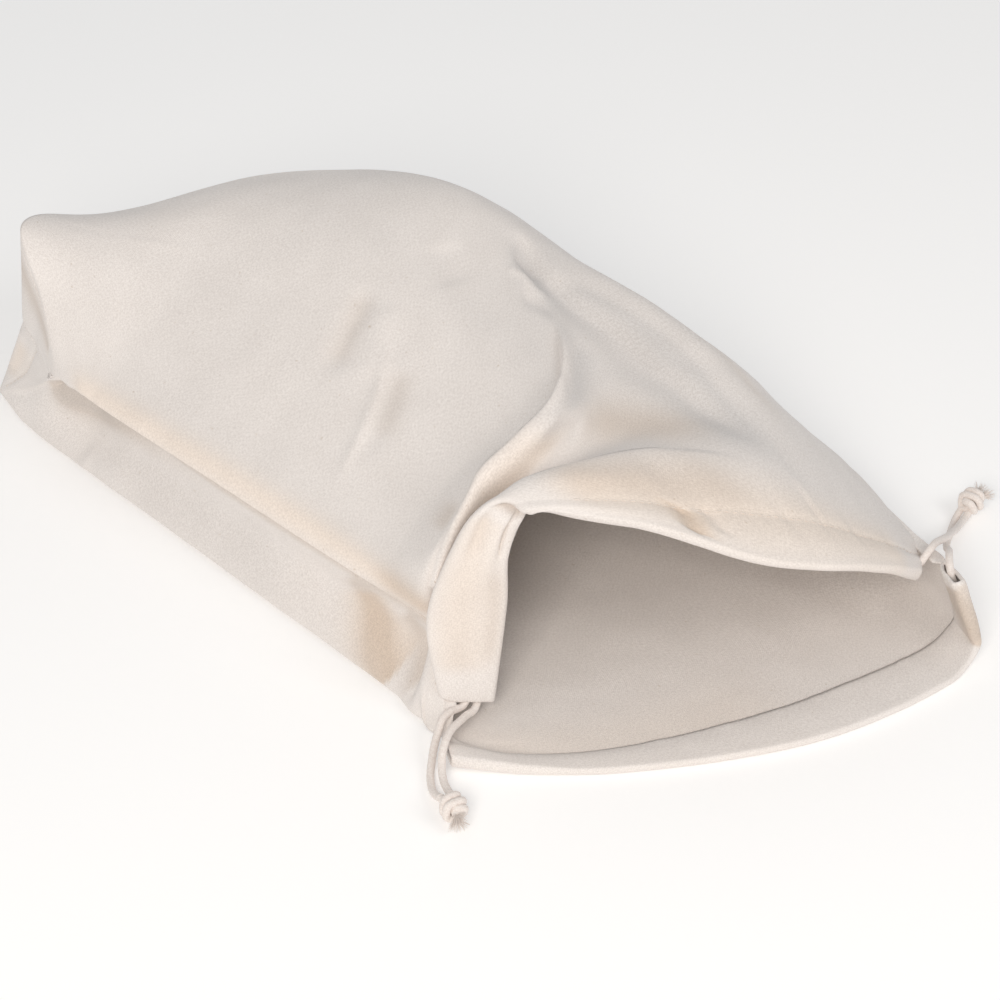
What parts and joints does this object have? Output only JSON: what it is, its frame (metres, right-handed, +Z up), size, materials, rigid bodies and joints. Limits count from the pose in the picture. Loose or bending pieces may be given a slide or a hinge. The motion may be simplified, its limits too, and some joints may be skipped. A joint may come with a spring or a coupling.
{
  "type": "bread bag",
  "caption": "Cotton drawstring bread bag with a boxed base, lying filled out on its back panel, its cuffed mouth open and its knotted cords on the surface.",
  "frame": {"origin": "middle of the bag's footprint, on the surface that it lies on", "axes": "+X runs from the boxed base to the mouth, +Y from the near side seam to the far one, +Z up"},
  "size_m": [0.4722, 0.3425, 0.1214],
  "materials": {
    "bag_cotton": "matte plain weave",
    "cord_cotton": "matte twisted cord"
  },
  "bodies": {
    "root": {"front_panel": "bag_cotton", "back_panel": "bag_cotton", "cord_near_a": "cord_cotton", "cord_near_b": "cord_cotton", "cord_far_a": "cord_cotton", "cord_far_b": "cord_cotton", "knot_near": "cord_cotton", "knot_far": "cord_cotton"}
  },
  "joints": []
}
